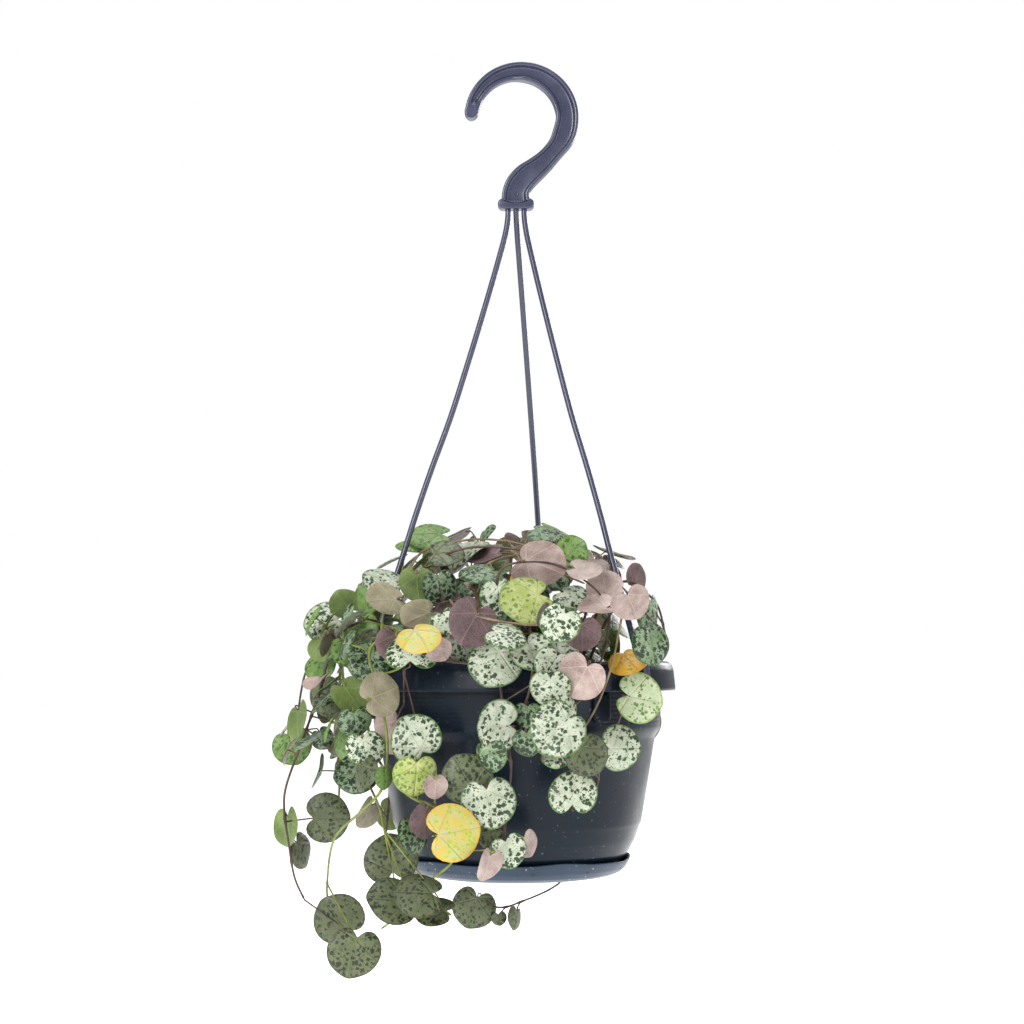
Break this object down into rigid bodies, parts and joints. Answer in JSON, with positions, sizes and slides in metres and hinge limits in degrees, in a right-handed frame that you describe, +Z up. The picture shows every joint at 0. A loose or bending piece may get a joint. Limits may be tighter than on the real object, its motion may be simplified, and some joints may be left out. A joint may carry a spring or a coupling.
{
  "type": "string of hearts plant in hanging pot",
  "caption": "Trailing plant with round heart leaves in a moulded hanging pot, with a drip tray and a one-piece hook hanger.",
  "frame": {"origin": "seat of the hook: the top of its inner curve, which lies on the rod or nail that holds the pot up", "axes": "+Z up, -Y towards the front of the picture, +X to its right; the pot's axis is the Z axis"},
  "size_m": [0.1696, 0.1932, 0.3818],
  "materials": {
    "pot_plastic": "moulded, semi-gloss blue grey",
    "tray_plastic": "moulded, semi-gloss blue grey",
    "hanger_plastic": "moulded, satin grey purple",
    "soil": "loose peat soil",
    "foliage": "thick waxy leaves, silver mottled on green"
  },
  "bodies": {
    "root": {"pot": "pot_plastic", "saucer": "tray_plastic", "hanger": "hanger_plastic", "soil": "soil", "vine_01": "foliage", "vine_02": "foliage", "vine_03": "foliage", "vine_04": "foliage", "vine_05": "foliage", "vine_06": "foliage", "vine_07": "foliage", "vine_08": "foliage", "vine_09": "foliage", "vine_10": "foliage", "vine_11": "foliage", "vine_12": "foliage", "vine_13": "foliage", "vine_14": "foliage", "vine_15": "foliage", "vine_16": "foliage", "vine_17": "foliage", "vine_18": "foliage", "vine_19": "foliage", "vine_20": "foliage", "vine_21": "foliage", "vine_22": "foliage", "vine_23": "foliage", "vine_24": "foliage", "vine_25": "foliage", "vine_26": "foliage", "vine_27": "foliage", "vine_28": "foliage", "vine_29": "foliage", "vine_30": "foliage", "vine_31": "foliage", "vine_32": "foliage", "vine_33": "foliage", "vine_34": "foliage", "vine_35": "foliage", "vine_36": "foliage"}
  },
  "joints": []
}
